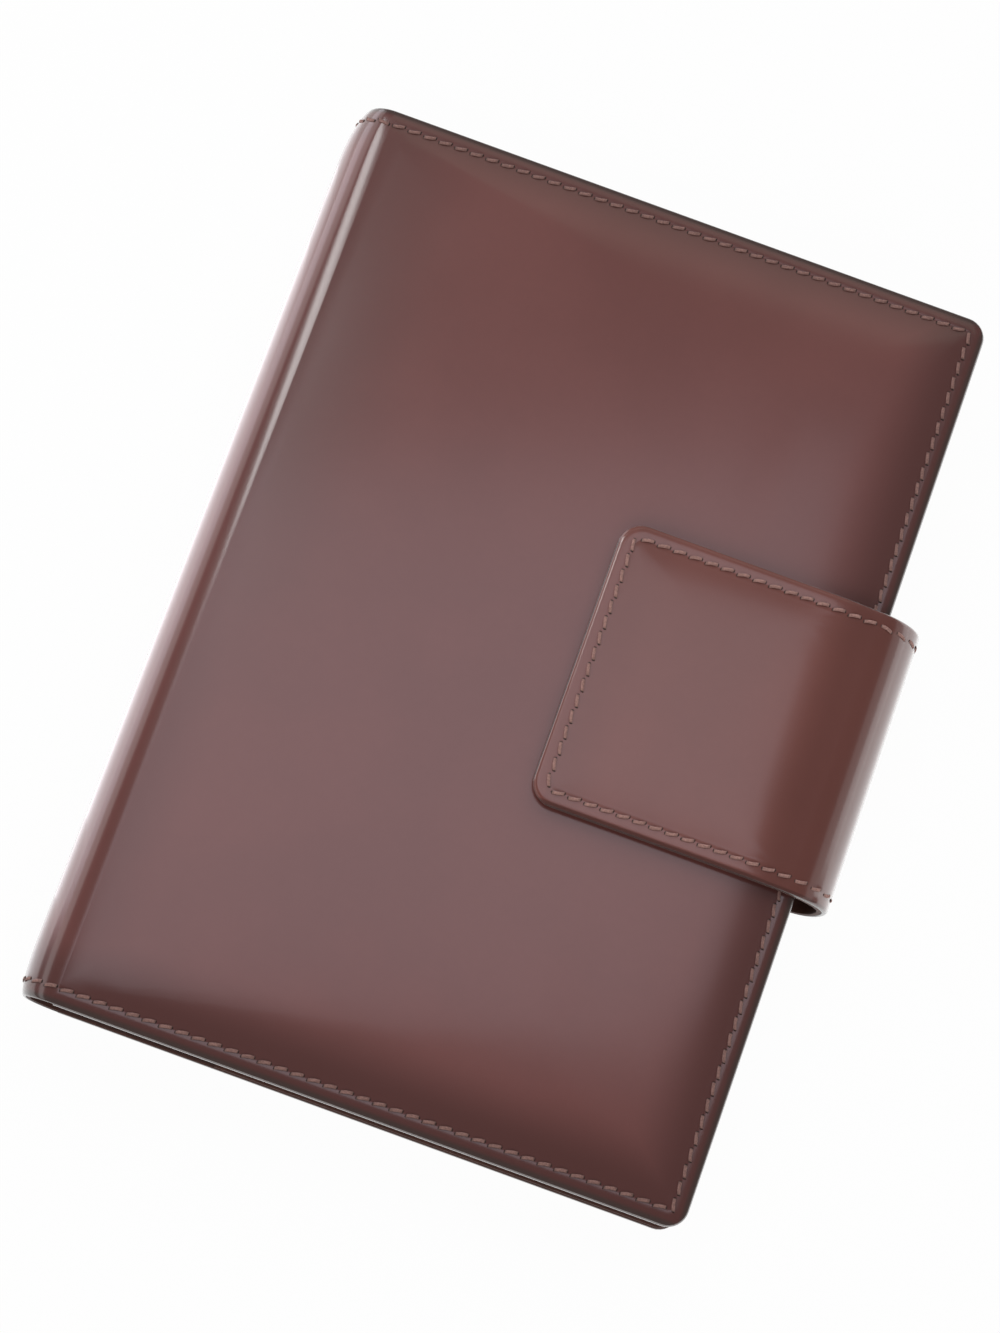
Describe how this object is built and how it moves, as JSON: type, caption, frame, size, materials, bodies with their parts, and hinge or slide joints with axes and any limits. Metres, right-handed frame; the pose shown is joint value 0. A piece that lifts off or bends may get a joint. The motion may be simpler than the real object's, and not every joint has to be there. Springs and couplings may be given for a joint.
{
  "type": "ring planner",
  "caption": "Closed leather ring planner with a rounded spine, padded front cover, stitched edges, wide snap strap at the fore edge and a ring mechanism holding leaves inside.",
  "frame": {"origin": "middle of the back cover's outer face, half way from the spine to the fore edge and half way up", "axes": "+X from the spine to the fore edge, +Y up along the spine, +Z out of the front cover"},
  "size_m": [0.1415, 0.19, 0.0219],
  "materials": {
    "cover_leather": "smooth polished calf",
    "strap_leather": "smooth polished calf",
    "inside_leather": "matt lining leather",
    "board": "grey fibre board",
    "pad": "soft wadding",
    "plated_steel": "bright nickel plate",
    "paper": "cream writing paper",
    "card": "buff card"
  },
  "bodies": {
    "back_cover": {"back_leather": "cover_leather", "back_board": "board", "back_lining": "inside_leather", "back_pocket": "inside_leather", "spine_leather": "cover_leather", "spine_lining": "inside_leather", "strap_anchor": "strap_leather", "ring_rail": "plated_steel", "rail_rivet_top": "plated_steel", "rail_rivet_bottom": "plated_steel", "lever_pin_top": "plated_steel", "lever_pin_bottom": "plated_steel", "back_leaves": "paper", "back_divider": "card"},
    "front_cover": {"front_leather": "cover_leather", "front_pad": "pad", "front_board": "board", "front_lining": "inside_leather", "front_pocket": "inside_leather", "snap_stud": "plated_steel", "snap_post": "plated_steel"},
    "front_pages": {"front_leaves": "paper", "front_divider": "card"},
    "strap_loop": {"strap_bend": "strap_leather", "strap_bend_lining": "inside_leather"},
    "strap_tab": {"strap_tab_leather": "strap_leather", "strap_tab_lining": "inside_leather", "snap_socket": "plated_steel", "snap_cap": "plated_steel"},
    "left_rings": {"left_blade": "plated_steel", "left_ring_1": "plated_steel", "left_ring_2": "plated_steel", "left_ring_3": "plated_steel", "left_ring_4": "plated_steel", "left_ring_5": "plated_steel", "left_ring_6": "plated_steel"},
    "right_rings": {"right_blade": "plated_steel", "right_ring_1": "plated_steel", "right_ring_2": "plated_steel", "right_ring_3": "plated_steel", "right_ring_4": "plated_steel", "right_ring_5": "plated_steel", "right_ring_6": "plated_steel"},
    "top_lever": {"lever_top": "plated_steel"},
    "bottom_lever": {"lever_bottom": "plated_steel"}
  },
  "joints": [
    {"name": "cover_open", "type": "hinge", "parent": "back_cover", "child": "front_cover", "pos_m": [-0.0665, 0, 0.00953], "axis": [0, -1, 0], "range_deg": [0, 180], "deforming": ["spine_leather", "spine_lining"]},
    {"name": "page_turn", "type": "hinge", "parent": "back_cover", "child": "front_pages", "pos_m": [-0.0505, 0, 0.0087], "axis": [0, -1, 0], "range_deg": [0, 167]},
    {"name": "strap_swing", "type": "hinge", "parent": "back_cover", "child": "strap_loop", "pos_m": [0.07197, 0.0016, 0.00288], "axis": [0, 1, 0], "range_deg": [0, 90], "deforming": ["strap_bend", "strap_bend_lining"]},
    {"name": "tab_lift", "type": "hinge", "parent": "strap_loop", "child": "strap_tab", "pos_m": [0.07152, 0.0016, 0.01888], "axis": [0, 1, 0], "range_deg": [0, 90]},
    {"name": "ring_left", "type": "hinge", "parent": "back_cover", "child": "left_rings", "pos_m": [-0.0552, 0, 0.0037], "axis": [0, -1, 0], "range_deg": [0, 16]},
    {"name": "ring_right", "type": "hinge", "parent": "back_cover", "child": "right_rings", "pos_m": [-0.0458, 0, 0.0037], "axis": [0, 1, 0], "range_deg": [0, 16]},
    {"name": "top_lever_press", "type": "hinge", "parent": "back_cover", "child": "top_lever", "pos_m": [-0.0505, 0.08, 0.0041], "axis": [-1, 0, 0], "range_deg": [0, 18]},
    {"name": "bottom_lever_press", "type": "hinge", "parent": "back_cover", "child": "bottom_lever", "pos_m": [-0.0505, -0.08, 0.0041], "axis": [1, 0, 0], "range_deg": [0, 18]}
  ],
  "couplings": [
    {"joint": "page_turn", "follows": "cover_open", "ratio": 0.925},
    {"joint": "ring_right", "follows": "ring_left", "ratio": 1},
    {"joint": "top_lever_press", "follows": "ring_left", "ratio": 1.125},
    {"joint": "bottom_lever_press", "follows": "ring_left", "ratio": 1.125}
  ]
}
